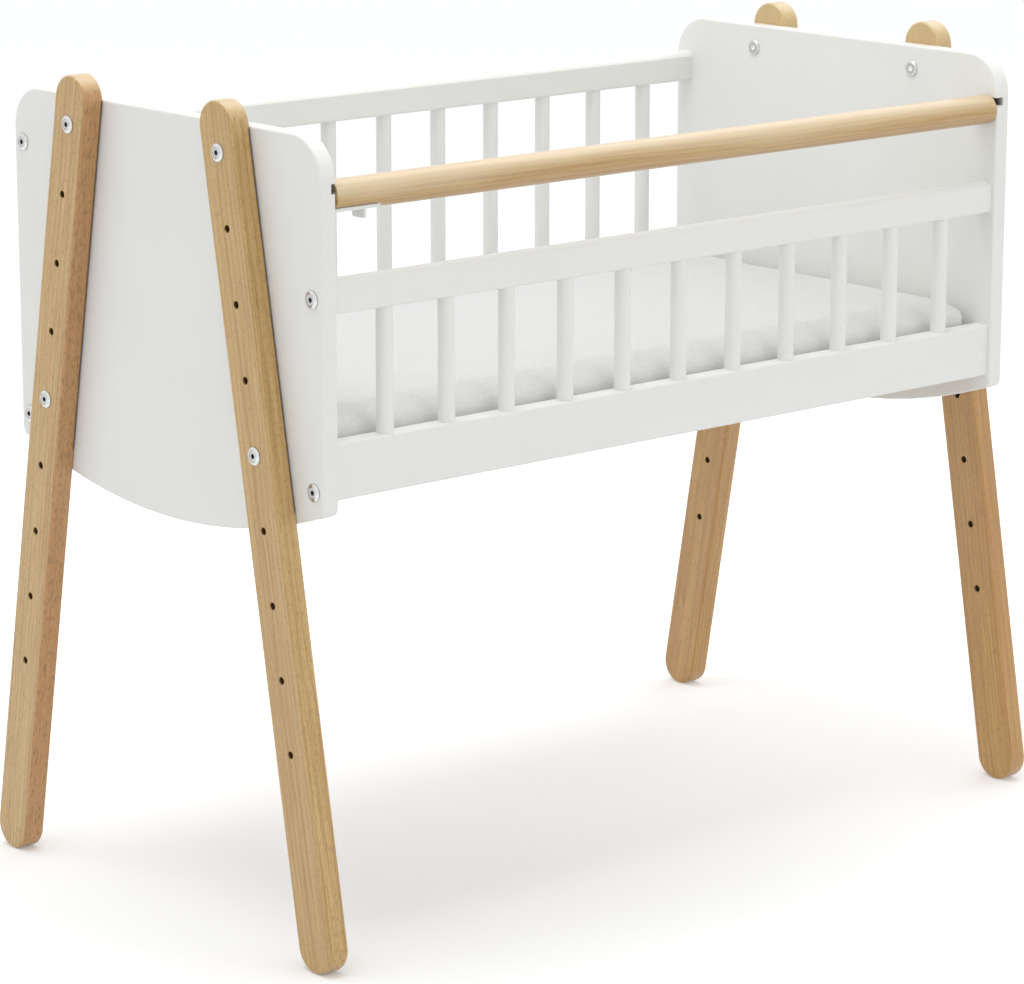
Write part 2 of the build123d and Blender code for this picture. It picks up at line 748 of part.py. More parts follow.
# Screws that hold the laths to the battens
with BuildPart() as lath_screws:
    for x in lath_places():
        for side in (-1, 1):
            plane = Plane(origin=(x, side * lath_screw_y, lath_top), x_dir=(1, 0, 0), z_dir=(0, 0, 1))
            countersunk_screw(plane, lath_screw_head, lath_screw_diameter, lath_screw_length)
lath_screws.part.label = "lath_screws"
export_step(lath_screws.part, "parts/lath_screws.step")
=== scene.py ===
# A co-sleeping cradle: a white lacquered box with slatted sides between four splayed beech legs.
# The wooden parts and fittings keep their modelled shapes and get their finishes here. The mattress
# is sewn and padded here.
from math import cos, radians, sin

import bpy
from mathutils import Matrix, Vector


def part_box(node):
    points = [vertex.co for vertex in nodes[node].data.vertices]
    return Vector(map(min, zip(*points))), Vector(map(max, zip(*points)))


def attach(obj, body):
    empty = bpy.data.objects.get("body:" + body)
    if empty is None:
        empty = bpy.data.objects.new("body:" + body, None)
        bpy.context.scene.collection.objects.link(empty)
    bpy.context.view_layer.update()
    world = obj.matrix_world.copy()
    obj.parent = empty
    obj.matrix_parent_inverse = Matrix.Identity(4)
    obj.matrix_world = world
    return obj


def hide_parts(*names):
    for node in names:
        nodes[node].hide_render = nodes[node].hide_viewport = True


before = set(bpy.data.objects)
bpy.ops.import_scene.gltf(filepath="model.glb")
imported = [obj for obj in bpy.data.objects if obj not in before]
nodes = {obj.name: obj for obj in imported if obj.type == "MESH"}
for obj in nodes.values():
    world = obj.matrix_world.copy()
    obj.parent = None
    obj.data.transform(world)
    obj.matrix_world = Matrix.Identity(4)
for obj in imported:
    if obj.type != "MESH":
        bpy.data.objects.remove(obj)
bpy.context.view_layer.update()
bpy.ops.object.select_all(action="DESELECT")


# Camera
# A long lens from the low side's left, a little above the box, as the cradle was photographed.
camera_place = Vector((-2.495333, -2.851754, 1.214112))
camera_turn = radians(41.276)
camera_tilt = radians(-13.408)
camera_roll = radians(0.101)
looking = Vector((
    sin(camera_turn) * cos(camera_tilt),
    cos(camera_turn) * cos(camera_tilt),
    sin(camera_tilt),
))
level_right = Vector((cos(camera_turn), -sin(camera_turn), 0))
level_up = level_right.cross(looking)
picture_right = level_right * cos(camera_roll) + level_up * sin(camera_roll)
picture_up = level_up * cos(camera_roll) - level_right * sin(camera_roll)

bpy.ops.object.camera_add()
camera = bpy.context.object
camera.name = "photo_camera"
turned = Matrix((picture_right, picture_up, -looking)).transposed().to_4x4()
camera.matrix_world = Matrix.Translation(camera_place) @ turned
camera.data.sensor_width = 36
camera.data.lens = 143.234
camera.data.shift_x = -0.01896
camera.data.shift_y = 0.00737
camera.data.clip_end = 60
bpy.context.scene.camera = camera
bpy.context.scene.view_settings.view_transform = "Standard"


# Studio
# A white sweep: even light from all round, a large soft lamp overhead and weaker ones beyond the
# cradle and in front. The white floor keeps the cradle's soft shadow, and a painted shade greys it
# a little towards the camera.
def tree_of(holder):
    """The emptied node tree of a material or world."""
    holder.use_nodes = True
    holder.node_tree.nodes.clear()
    return holder.node_tree


def add_node(tree, kind, values=(), **settings):
    """A new shader node with its settings, and the inputs that are given by name or place."""
    made = tree.nodes.new(f"ShaderNode{kind}")
    for setting, value in settings.items():
        setattr(made, setting, value)
    for socket, value in dict(values).items():
        if isinstance(value, bpy.types.NodeSocket):
            tree.links.new(value, made.inputs[socket])
        else:
            made.inputs[socket].default_value = value
    return made


def worked(tree, operation, first, second=0.0):
    """The result of one operation on two values."""
    return add_node(tree, "Math", {0: first, 1: second}, operation=operation).outputs[0]


def own_place(tree):
    """The place on the piece itself."""
    return add_node(tree, "TexCoord").outputs["Object"]


def seen_as_backdrop(tree):
    """A value that is 1 for rays from the camera, and from gloss and glass, and 0 for light."""
    ray = add_node(tree, "LightPath").outputs
    seen_or_mirrored = worked(tree, "MAXIMUM", ray["Is Camera Ray"], ray["Is Glossy Ray"])
    return worked(tree, "MAXIMUM", seen_or_mirrored, ray["Is Transmission Ray"])


def greys(tree, value, steps, interpolation="LINEAR", blue=1.0):
    """The grey that belongs to a value from 0 to 1, by steps of (value, grey)."""
    ramp = add_node(tree, "ValToRGB", {0: value})
    ramp.color_ramp.interpolation = interpolation
    stops = ramp.color_ramp.elements
    while len(stops) < len(steps):
        stops.new(0.5)
    for stop, (place, grey) in zip(stops, steps):
        stop.position = place
        stop.color = (grey, grey, grey * blue, 1)
    return ramp.outputs[0]


white = (1, 1, 1, 1)
studio_light = 0.845
backdrop_light = 1.0
bpy.context.scene.world = bpy.data.worlds.new("studio")
studio = tree_of(bpy.context.scene.world)
surround = add_node(studio, "Background", {"Color": white, "Strength": studio_light})
backdrop = add_node(studio, "Background", {"Color": white, "Strength": backdrop_light})
either_one = add_node(
    studio,
    "MixShader",
    {0: seen_as_backdrop(studio), 1: surround.outputs[0], 2: backdrop.outputs[0]},
)
add_node(studio, "OutputWorld", {"Surface": either_one.outputs[0]})

lamp_aim = Vector((0, 0, 0.5))


def soft_lamp(name, place, size, power):
    """A square lamp at a place, turned towards the cradle."""
    bpy.ops.object.light_add(type="AREA", location=place)
    lamp = bpy.context.object
    lamp.name = name
    lamp.rotation_euler = (lamp_aim - Vector(place)).to_track_quat("-Z", "Y").to_euler()
    lamp.data.size = size
    lamp.data.energy = power


soft_lamp("lamp_above", (-0.5, 0.1, 3.0), size=1.6, power=28)
soft_lamp("lamp_beyond", (2.0, 0.4, 2.7), size=2.0, power=11)
soft_lamp("lamp_in_front", (1.0, -3.4, 1.6), size=1.2, power=6)

floor_colour = (0.850, 0.860, 0.868, 1)
# The lift dips in a band towards the camera: painted shade that greys the floor there.
floor_lift_with_painted_shade = [(0.0, 0.262), (0.2, 0.235), (0.45, 0.15), (0.6, 0.16), (0.85, 0.262)]
lift_step_per_metre = 0.625
lift_step_at_cradle = 0.25

bpy.ops.mesh.primitive_plane_add(size=30)
floor = bpy.context.object
floor.name = "floor"
floor_paint = bpy.data.materials.new("floor_paint")
floor.data.materials.append(floor_paint)
tree = tree_of(floor_paint)
towards_camera = -lift_step_per_metre * Vector((sin(camera_turn), cos(camera_turn), 0))
nearer = add_node(
    tree, "VectorMath", {0: own_place(tree), 1: towards_camera}, operation="DOT_PRODUCT"
)
lift_step = worked(tree, "ADD", nearer.outputs["Value"], lift_step_at_cradle)
lift_strength = worked(
    tree, "MULTIPLY", seen_as_backdrop(tree), greys(tree, lift_step, floor_lift_with_painted_shade, "EASE")
)
matt = add_node(tree, "BsdfDiffuse", {"Color": floor_colour})
lift = add_node(tree, "Emission", {"Color": white, "Strength": lift_strength})
both = add_node(tree, "AddShader", {0: matt.outputs[0], 1: lift.outputs[0]})
add_node(tree, "OutputMaterial", {"Surface": both.outputs[0]})


# End panels
# Two boards with rounded corners and a curved foot, sprayed with white satin lacquer. The film has
# a faint orange peel and a slightly uneven colour, and shade is painted nearly black inside the
# bar's grooves.
def effect(name, inputs):
    """An empty node group for a finish, with each named input's kind and first value."""
    group = bpy.data.node_groups.new(name, "ShaderNodeTree")
    for socket, (kind, value) in inputs.items():
        made = group.interface.new_socket(socket, in_out="INPUT", socket_type=f"NodeSocket{kind}")
        if value is not None:
            made.default_value = value
    for socket, kind in (("Colour", "Color"), ("Roughness", "Float"), ("Height", "Float")):
        group.interface.new_socket(socket, in_out="OUTPUT", socket_type=f"NodeSocket{kind}")
    return group, group.nodes.new("NodeGroupInput").outputs


def give_out(group, colour, roughness, height):
    """The node group gives out this colour, roughness and height."""
    result = group.nodes.new("NodeGroupOutput")
    for socket, value in (("Colour", colour), ("Roughness", roughness), ("Height", height)):
        group.links.new(value, result.inputs[socket])


def ranged(tree, value, low, high, to_low=0.0, to_high=1.0):
    """A value moved from one range into another, and kept inside it."""
    return add_node(tree, "MapRange", {0: value, 1: low, 2: high, 3: to_low, 4: to_high}).outputs[0]


def off_middle(tree, value, middle=0.0):
    """How far a value lies from a middle one."""
    return worked(tree, "ABSOLUTE", worked(tree, "SUBTRACT", value, middle))


def all_of(tree, *masks):
    """The mask where all of some masks meet."""
    meeting = masks[0]
    for mask in masks[1:]:
        meeting = worked(tree, "MULTIPLY", meeting, mask)
    return meeting


def split(tree, vector):
    """The three values of a vector."""
    return add_node(tree, "SeparateXYZ", {0: vector}).outputs


def blended(tree, factor, first, second):
    """The colour between two colours, by a factor."""
    mix = add_node(tree, "Mix", {0: factor, 6: first, 7: second}, data_type="RGBA")
    return mix.outputs[2]


def moved(tree, vector, shift=(0, 0, 0), turn=(0, 0, 0), scale=(1, 1, 1)):
    """Coordinates that are shifted, turned and scaled."""
    return add_node(tree, "Mapping", {0: vector, 1: shift, 2: turn, 3: scale}).outputs[0]


def clouds(tree, vector, scale=1.0, detail=2.0, part=0):
    """Noise on some coordinates: its value, or its colour where part is 1."""
    made = add_node(tree, "TexNoise", {0: vector, "Scale": scale, "Detail": detail})
    return made.outputs[part]


def drawn_clouds(tree, vector, fineness, detail, part=0):
    """Noise with a fineness of its own along each direction."""
    return clouds(tree, moved(tree, vector, scale=fineness), 1, detail, part)


def surface(name, **plain):
    """A new material with its Principled shader, and the plain values set on that shader."""
    material = bpy.data.materials.new(name)
    tree = tree_of(material)
    shader = tree.nodes.new("ShaderNodeBsdfPrincipled")
    add_node(tree, "OutputMaterial", {"Surface": shader.outputs[0]})
    for socket, value in plain.items():
        shader.inputs[socket.replace("_", " ")].default_value = value
    return material, tree, shader


def relief(tree, shader, height, depth):
    """Bump from a height between 0 and 1 that stands for a depth in metres."""
    bump = add_node(tree, "Bump", {"Height": height, "Distance": depth, "Strength": 1.0})
    tree.links.new(bump.outputs[0], shader.inputs["Normal"])


def finished(name, group, inputs, depth, turn=(0, 0, 0), shift=(0, 0, 0), **plain):
    """A new material with a group's colour, roughness and relief on turned coordinates."""
    material, tree, shader = surface(name, **plain)
    place = moved(tree, own_place(tree), shift, turn)
    look = add_node(tree, "Group", {"Vector": place, **inputs}, node_tree=group).outputs
    tree.links.new(look["Colour"], shader.inputs["Base Color"])
    tree.links.new(look["Roughness"], shader.inputs["Roughness"])
    relief(tree, shader, look["Height"], depth)
    return material


def reopened(material):
    """The parts of a finished material: its tree, its shader and the colour that it has so far."""
    tree = material.node_tree
    shader = tree.nodes["Principled BSDF"]
    return tree, shader, shader.inputs["Base Color"].links[0].from_socket


def finish_node(name, material):
    """The modelled piece keeps its shape and takes this material."""
    piece = nodes[name]
    piece.data.materials.clear()
    piece.data.materials.append(material)


lacquer_film, given = effect(
    "lacquer_film",
    {
        "Vector": ("Vector", None),
        "Colour": ("Color", (0.815, 0.815, 0.790, 1)),
        "Shade": ("Color", (0.798, 0.800, 0.773, 1)),
        "Fibres": ("Float", 0.0),
    },
)
peel_share = 0.35
peel = clouds(lacquer_film, given["Vector"], 420)
cloud = clouds(lacquer_film, given["Vector"], 9, 3)
fibres = drawn_clouds(lacquer_film, given["Vector"], (6, 260, 260), 3)
cloud_share = ranged(lacquer_film, cloud, 0.35, 0.65)
give_out(
    lacquer_film,
    colour=blended(lacquer_film, cloud_share, given["Colour"], given["Shade"]),
    roughness=ranged(lacquer_film, cloud, 0.3, 0.7, 0.36, 0.46),
    height=worked(
        lacquer_film,
        "ADD",
        worked(lacquer_film, "MULTIPLY", peel, peel_share),
        worked(lacquer_film, "MULTIPLY", fibres, given["Fibres"]),
    ),
)


def lacquered(name, turn=(0, 0, 0), fibres=0.0):
    """White lacquer, through which the wood's fibres show a little where fibres is over 0."""
    return finished(
        name, lacquer_film, {"Fibres": fibres}, 0.00006, turn=turn, Specular_IOR_Level=0.35
    )


board_lacquer = lacquered("board_lacquer")
board_low, board_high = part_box("left_end_panel")
bar_low, bar_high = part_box("top_bar")
inner_face = -board_high[0]
front_edge = board_low[1]
tongue_from = inner_face + 0.002
tongue = [point.co.z for point in nodes["top_bar"].data.vertices if abs(point.co.x) > tongue_from]
groove_middle = (min(tongue) + max(tongue)) / 2
groove_half = (max(tongue) - min(tongue)) / 2
groove_length = 0.060
tip_gap = 0.0009
end_split = 0.1
left_mouth, right_mouth, deep_inside = 0.9, 0.25, 0.93
# Nearly black: the shade inside the bar's grooves, painted on the lacquer.
painted_groove_shade = (0.035, 0.030, 0.024, 1)

tree, shader, lacquer = reopened(board_lacquer)
x, y, z = split(tree, own_place(tree))
from_centre = off_middle(tree, x)
groove_foot = ranged(tree, x, -end_split, end_split, tip_gap - bar_low[0], tip_gap + bar_high[0])
groove_mouth = ranged(tree, x, -end_split, end_split, left_mouth, right_mouth)
# Where the painted groove shade lies: in each groove, darker deep inside and at the left mouth.
darkness = all_of(
    tree,
    ranged(tree, from_centre, inner_face + 0.0002, inner_face + 0.0012),
    ranged(tree, worked(tree, "SUBTRACT", groove_foot, from_centre), 0, 0.0003),
    ranged(tree, off_middle(tree, z, groove_middle), groove_half + 0.0012, groove_half + 0.0006),
    ranged(tree, y, front_edge + groove_length, front_edge + groove_length - 0.010),
    ranged(tree, y, front_edge + 0.001, front_edge + 0.009, groove_mouth, deep_inside),
)
tree.links.new(blended(tree, darkness, lacquer, painted_groove_shade), shader.inputs["Base Color"])
for end in ("left", "right"):
    finish_node(f"{end}_end_panel", board_lacquer)


# Legs
# Four solid beech bars with round ends and nine bolt holes each, clear lacquered. The grain runs
# along each leg, in growth rings, fine streaks and the short dark flecks of beech. Shade is painted
# dark inside the holes and along the thin joint line between each leg and its panel. Light and
# shade
# are painted on the wood too: paler upward faces, a redder shaded copy with paler tops on the right
# legs, and a darker mottle on the back left leg's front side, partly figure and partly painted
# shade.
def vector_worked(tree, operation, first, second=(0, 0, 0)):
    """The vector that one operation makes of two vectors."""
    return add_node(tree, "VectorMath", {0: first, 1: second}, operation=operation).outputs[0]


beech_grain, given = effect(
    "beech_grain",
    {
        "Vector": ("Vector", None),
        "Light": ("Color", (0.622, 0.422, 0.162, 1)),
        "Dark": ("Color", (0.395, 0.216, 0.053, 1)),
        "Fleck": ("Color", (0.250, 0.125, 0.045, 1)),
        "Rings": ("Float", 0.35),
        "Streaks": ("Float", 0.55),
        "Flecks": ("Float", 0.5),
        "Red": ("Float", 0.12),
    },
)
grain_sway = Vector((0.016, 0.016, 0.016))
heart_shift = (0.05, 0.13, 0)
heart_turn = (radians(1.4), radians(-0.9), 0)
heart_stretch = (1, 1, 0.12)
warm_wood = (0.42, 0.20, 0.065, 1)

along = given["Vector"]
wander = drawn_clouds(beech_grain, along, (14, 14, 1.3), 2, part=1)
centred = vector_worked(beech_grain, "SUBTRACT", wander, (0.5, 0.5, 0.5))
swayed = vector_worked(beech_grain, "MULTIPLY", centred, grain_sway)
bent = vector_worked(beech_grain, "ADD", along, swayed)
rings = add_node(
    beech_grain,
    "TexWave",
    {
        0: moved(beech_grain, bent, heart_shift, heart_turn, heart_stretch),
        "Scale": 70,
        "Distortion": 5.5,
        "Detail": 2,
        "Detail Scale": 0.5,
    },
    wave_type="RINGS",
    rings_direction="Z",
    wave_profile="SAW",
).outputs[0]
streaks = drawn_clouds(beech_grain, bent, (620, 620, 16), 4)
broad = drawn_clouds(beech_grain, bent, (75, 75, 2), 2)
flecks = drawn_clouds(beech_grain, along, (1250, 1250, 240), 1)
warm_patch = drawn_clouds(beech_grain, bent, (34, 34, 2.2), 3)

ring_share = ranged(beech_grain, rings, 0.45, 1.0)
streak_share = ranged(beech_grain, streaks, 0.32, 0.68)
ring_tone = worked(beech_grain, "MULTIPLY", ring_share, given["Rings"])
streak_tone = worked(beech_grain, "MULTIPLY", streak_share, given["Streaks"])
broad_tone = ranged(beech_grain, broad, 0.3, 0.7, 0.0, 0.35)
tone = worked(beech_grain, "ADD", worked(beech_grain, "ADD", ring_tone, streak_tone), broad_tone)
tone_share = ranged(beech_grain, tone, 0.1, 1.1)
warm_share = all_of(beech_grain, ranged(beech_grain, warm_patch, 0.42, 0.62), given["Red"])
fleck_mask = ranged(beech_grain, flecks, 0.57, 0.68)
fleck_share = all_of(beech_grain, fleck_mask, given["Flecks"])
wood = blended(beech_grain, tone_share, given["Light"], given["Dark"])
wood = blended(beech_grain, warm_share, wood, warm_wood)
fleck_depth = worked(beech_grain, "MULTIPLY", fleck_mask, 0.5)
give_out(
    beech_grain,
    colour=blended(beech_grain, fleck_share, wood, given["Fleck"]),
    roughness=ranged(beech_grain, streaks, 0.3, 0.7, 0.42, 0.56),
    height=worked(beech_grain, "SUBTRACT", streaks, fleck_depth),
)


def beech(name, turn, shift, **amounts):
    """Clear lacquered beech whose grain runs along Z once the coordinates are turned."""
    return finished(
        name,
        beech_grain,
        amounts,
        0.00010,
        turn=turn,
        shift=shift,
        Specular_IOR_Level=0.35,
        Coat_Weight=0.9,
        Coat_Roughness=0.24,
        Coat_IOR=1.5,
    )


leg_lean = radians(10)
leg_cuts = {
    "front_left_leg": (leg_lean, (0.47, 0.02, 0.0)),
    "front_right_leg": (leg_lean, (-0.33, 0.31, 0.7)),
    "back_left_leg": (-leg_lean, (0.52, -0.18, 1.3)),
    "back_right_leg": (-leg_lean, (-0.39, -0.37, 2.1)),
}
# The right legs sit in shade: their beech is a redder, more saturated copy that paints that warm
# shade.
shaded_redder_wood = {"Light": (0.622, 0.375, 0.115, 1), "Dark": (0.395, 0.190, 0.038, 1), "Red": 0.5}
shaded_mottle_light = (0.50, 0.235, 0.085, 1)
shaded_mottle_dark = (0.26, 0.115, 0.045, 1)
painted_top_light = (0.66, 0.505, 0.29, 1)
painted_upper_light = (0.66, 0.52, 0.27, 1)
upper_light_from, upper_light_to = 0.62, 0.71
hole_shade = (0.10, 0.055, 0.018, 1)
joint_shade = (0.11, 0.055, 0.02, 1)
leg_hole_radius = 0.0035
rocker_rise = 0.036
joint_low, joint_high = board_low[2] + rocker_rise, board_high[2]
joint_middle, joint_half = (joint_low + joint_high) / 2, (joint_high - joint_low) / 2

for leg, (lean, cut) in leg_cuts.items():
    own_wood = shaded_redder_wood if "right" in leg else {}
    material = beech(f"{leg}_beech", (lean, 0, 0), cut, **own_wood)
    tree, shader, wood = reopened(material)
    upright = Matrix.Rotation(lean, 3, "X")
    spots = [upright @ point.co for point in nodes[leg].data.vertices]
    low = Vector([min(spot[n] for spot in spots) for n in range(3)])
    high = Vector([max(spot[n] for spot in spots) for n in range(3)])
    half = (high - low) / 2
    upright_place = moved(tree, own_place(tree), turn=(lean, 0, 0))
    from_middle = vector_worked(tree, "SUBTRACT", upright_place, (low + high) / 2)
    thick, across, length = split(tree, vector_worked(tree, "ABSOLUTE", from_middle))
    # Shade painted dark inside each bolt hole.
    in_a_hole = all_of(
        tree,
        ranged(tree, across, leg_hole_radius + 0.0007, leg_hole_radius + 0.0002),
        ranged(tree, thick, half.x - 0.0003, half.x - 0.0016),
        ranged(tree, length, half.z - 0.002, half.z - 0.006),
    )
    x, y, z = split(tree, own_place(tree))
    # A thin line of painted shade where the leg meets its panel.
    joint_face = min(abs(low.x), abs(high.x))
    at_the_panel = all_of(
        tree,
        ranged(tree, off_middle(tree, x), joint_face + 0.0034, joint_face + 0.0020),
        ranged(tree, off_middle(tree, z, joint_middle), joint_half, joint_half - 0.003),
    )
    facing = split(tree, add_node(tree, "NewGeometry").outputs["Normal"])
    # The back left leg's front-facing side gets a darker mottle: partly the wood's figure, partly
    # painted shade.
    if leg == "back_left_leg":
        knot_place = moved(tree, own_place(tree), turn=(lean, 0, 0), scale=(420, 420, 150))
        knots = ranged(tree, clouds(tree, knot_place, 1, 3), 0.5, 0.66)
        shaded_mottle = blended(tree, knots, shaded_mottle_light, shaded_mottle_dark)
        wood = blended(tree, ranged(tree, facing[1], -0.1, -0.7, 0.0, 0.65), wood, shaded_mottle)
    # Upward faces, the rounded tops, are painted paler as the light from above.
    wood = blended(tree, ranged(tree, facing[2], 0.25, 0.8, 0.0, 0.8), wood, painted_top_light)
    # The right legs' tops, above their panel, are painted paler as the light that falls there.
    if "right" in leg:
        wood = blended(tree, ranged(tree, z, upper_light_from, upper_light_to, 0.0, 0.6), wood, painted_upper_light)
    wood = blended(tree, in_a_hole, wood, hole_shade)
    wood = blended(tree, at_the_panel, wood, joint_shade)
    tree.links.new(wood, shader.inputs["Base Color"])
    finish_node(leg, material)


# Rails and slats
# Solid wooden rails and round rods, lacquered white like the panels. The fibres of the wood show
# very faintly through the film along each piece.
x_for_z = (0, radians(90), 0)
rail_lacquer = lacquered("rail_lacquer", fibres=1.0)
slat_lacquer = lacquered("slat_lacquer", turn=x_for_z, fibres=1.0)
for side in ("front", "back"):
    finish_node(f"{side}_lower_rail", rail_lacquer)
    finish_node(f"{side}_upper_rail", rail_lacquer)
    for n in range(1, 12):
        finish_node(f"{side}_slat_{n}", slat_lacquer)


# Base
# Planed softwood battens and laths under the mattress, plain and unfinished. Glued beech dowels
# keep the deep lower rails from turning.
softwood = {
    "Light": (0.66, 0.51, 0.32, 1),
    "Dark": (0.52, 0.35, 0.19, 1),
    "Flecks": 0.0,
    "Rings": 0.8,
    "Streaks": 0.2,
}


def planed(name, turn, shift):
    """Plain planed wood, paler than the legs and without their lacquer."""
    return finished(
        name, beech_grain, softwood, 0.00015, turn=turn, shift=shift, Specular_IOR_Level=0.25
    )


y_for_z = (radians(90), 0, 0)
batten_wood = planed("batten_wood", x_for_z, (0.1, 0.4, 0.2))
lath_wood = planed("lath_wood", y_for_z, (0.3, 0.1, 0.6))
for side in ("front", "back"):
    finish_node(f"{side}_base_batten", batten_wood)
for n in range(1, 9):
    finish_node(f"base_lath_{n}", lath_wood)
finish_node("rail_dowels", batten_wood)


# Fittings
# Nickel plated furniture bolts with a hexagon socket, and their sleeve nuts, turned on a lathe and
# polished. The turning leaves fine rings round each axis. Rings of painted light and shade run
# round each head, dark in the socket and the dish and bright at the rim, and the sleeve nuts' solid
# middle has a painted highlight.
axis_names = ("First", "Second", "Third", "Fourth")
turned_metal, given = effect(
    "turned_metal",
    {
        "Vector": ("Vector", None),
        **{axis: ("Vector", None) for axis in axis_names},
        "Head": ("Float", 0.008),
        "Core": ("Float", 0.0),
    },
)
# Greys by distance from the axis: painted light and shade, dark in the socket and dish, a dark
# ring, a bright rim.
painted_head_light_and_shade = [
    (0.0, 0.20),
    (0.28, 0.30),
    (0.33, 0.56),
    (0.54, 0.62),
    (0.575, 0.26),
    (0.62, 0.70),
    (0.92, 0.82),
    (1.0, 0.45),
]
smear_grey = (0.42, 0.43, 0.45, 1)
painted_core_highlight = (0.95, 0.95, 0.95, 1)
core_radius = 0.0026
core_edge = 0.0002

across = vector_worked(turned_metal, "MULTIPLY", given["Vector"], (0, 1, 1))
from_axis = None
for axis in axis_names:
    from_this = add_node(
        turned_metal, "VectorMath", {0: across, 1: given[axis]}, operation="DISTANCE"
    ).outputs["Value"]
    if from_axis is None:
        from_axis = from_this
    else:
        from_axis = worked(turned_metal, "MINIMUM", from_axis, from_this)
ring_line = add_node(turned_metal, "CombineXYZ", {0: from_axis}).outputs[0]
lathe_marks = drawn_clouds(turned_metal, ring_line, (3200, 1, 1), 2)
smears = clouds(turned_metal, given["Vector"], 340, 2)
smear_share = ranged(turned_metal, smears, 0.3, 0.75, 0.0, 0.3)
out_on_the_head = worked(turned_metal, "DIVIDE", from_axis, given["Head"])
in_the_core = ranged(turned_metal, from_axis, core_radius + core_edge, core_radius - core_edge)
metal = greys(turned_metal, out_on_the_head, painted_head_light_and_shade, blue=0.99)
metal = blended(turned_metal, smear_share, metal, smear_grey)
# The sleeve nuts' middle is painted near white as a highlight.
metal = blended(turned_metal, all_of(turned_metal, in_the_core, given["Core"]), metal, painted_core_highlight)
give_out(
    turned_metal,
    colour=metal,
    roughness=ranged(turned_metal, lathe_marks, 0.3, 0.7, 0.16, 0.30),
    height=lathe_marks,
)

bolt_head_radius = 0.008
leg_bolt_axes = [(-0.110, 0.7008), (-0.1550, 0.4455), (0.110, 0.7008), (0.1550, 0.4455)]
rail_bolt_axes = [(-0.2105, 0.5861), (-0.2105, 0.4202), (0.2105, 0.6723), (0.2105, 0.4202)]


def turned_nickel(name, axes, core=0.0):
    """Nickel plate on four turned pieces whose axes, along X, are given as (y, z)."""
    inputs = {axis: (0, y, z) for axis, (y, z) in zip(axis_names, axes)}
    inputs.update({"Head": bolt_head_radius, "Core": core})
    return finished(name, turned_metal, inputs, 0.00002, Metallic=1.0)


leg_bolt_nickel = turned_nickel("leg_bolt_nickel", leg_bolt_axes)
rail_bolt_nickel = turned_nickel("rail_bolt_nickel", rail_bolt_axes)
sleeve_nut_nickel = turned_nickel("sleeve_nut_nickel", leg_bolt_axes, core=1.0)
for end in ("left", "right"):
    finish_node(f"{end}_leg_bolts", leg_bolt_nickel)
    finish_node(f"{end}_leg_sleeve_nuts", sleeve_nut_nickel)
    finish_node(f"{end}_rail_bolts", rail_bolt_nickel)

zinc_dark, zinc_light = (0.60, 0.60, 0.58, 1), (0.76, 0.76, 0.74, 1)
material, tree, shader = surface("zinc_plate", Metallic=1.0)
plate_tone = clouds(tree, own_place(tree), 260, 3)
plate_colour = blended(tree, plate_tone, zinc_dark, zinc_light)
tree.links.new(plate_colour, shader.inputs["Base Color"])
tree.links.new(ranged(tree, plate_tone, 0.3, 0.7, 0.28, 0.42), shader.inputs["Roughness"])
relief(tree, shader, plate_tone, 0.00002)
for name in ("rail_barrel_nuts", "batten_screws", "lath_screws", "latch_screws"):
    finish_node(name, material)


# Top bar
# A round beech bar with a tongue on each end, which slides into the panels' grooves. Its upper
# side is painted paler as a sheen from the light above, and its lower side darker as shade.
painted_under_shade_colour = (0.36, 0.20, 0.07, 1)
painted_top_sheen_colour = (0.74, 0.62, 0.44, 1)
shade_line_sway = 0.022
bar_foot = bar_low[2]
bar_beech = beech(
    "bar_beech", x_for_z, (0.62, 0.21, 0.4), Rings=0.4, Streaks=0.5, Flecks=0.15
)
tree, shader, wood = reopened(bar_beech)
swirl = drawn_clouds(tree, own_place(tree), (3, 30, 30), 2)
sway = worked(tree, "MULTIPLY", worked(tree, "SUBTRACT", swirl, 0.5), shade_line_sway)
swayed_height = worked(tree, "ADD", split(tree, own_place(tree))[2], sway)
# Painted shade on the lower side and a painted sheen on the upper side, along a swaying line.
under_shade_share = ranged(tree, swayed_height, bar_foot + 0.002, bar_foot + 0.019, 0.5, 0.0)
top_sheen_share = ranged(tree, swayed_height, bar_foot + 0.011, bar_foot + 0.023, 0.0, 0.62)
wood = blended(tree, under_shade_share, wood, painted_under_shade_colour)
wood = blended(tree, top_sheen_share, wood, painted_top_sheen_colour)
tree.links.new(wood, shader.inputs["Base Color"])
finish_node("top_bar", bar_beech)


# Latch
# A slide moulded in white plastic under the bar's left end, with a fin for the finger. Its
# surface has the fine frosting of the mould.
frost_dark, frost_light = (0.78, 0.78, 0.76, 1), (0.82, 0.82, 0.80, 1)
material, tree, shader = surface("latch_plastic", Specular_IOR_Level=0.5)
frosting = clouds(tree, own_place(tree), 900)
frosted = blended(tree, frosting, frost_dark, frost_light)
tree.links.new(frosted, shader.inputs["Base Color"])
tree.links.new(ranged(tree, frosting, 0.3, 0.7, 0.30, 0.40), shader.inputs["Roughness"])
relief(tree, shader, frosting, 0.00003)
finish_node("bar_latch", material)


# Mattress
# A foam core in a fitted cover of fine woven cotton, drawn round over the core's edges and sewn
# once round its low edge. The cover is blown out from inside by a cloth simulation.
mattress_low, mattress_high = [Vector(corner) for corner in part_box("mattress")]
mattress_middle = (mattress_low + mattress_high) / 2
cover_shrink = 0.0012
cover_voxel = 0.005
cover_pressure = 4.0
cover_swell = 0.004
cover_side_room = 0.0050
cover_end_room = 0.0020
cover_top_room = 0.0015
blowing_frames = 20
corner_round = 0.012
corner_sharpening = 0.95
edge_inset = 0.007
edge_drop = 0.0035
edge_width = 0.022

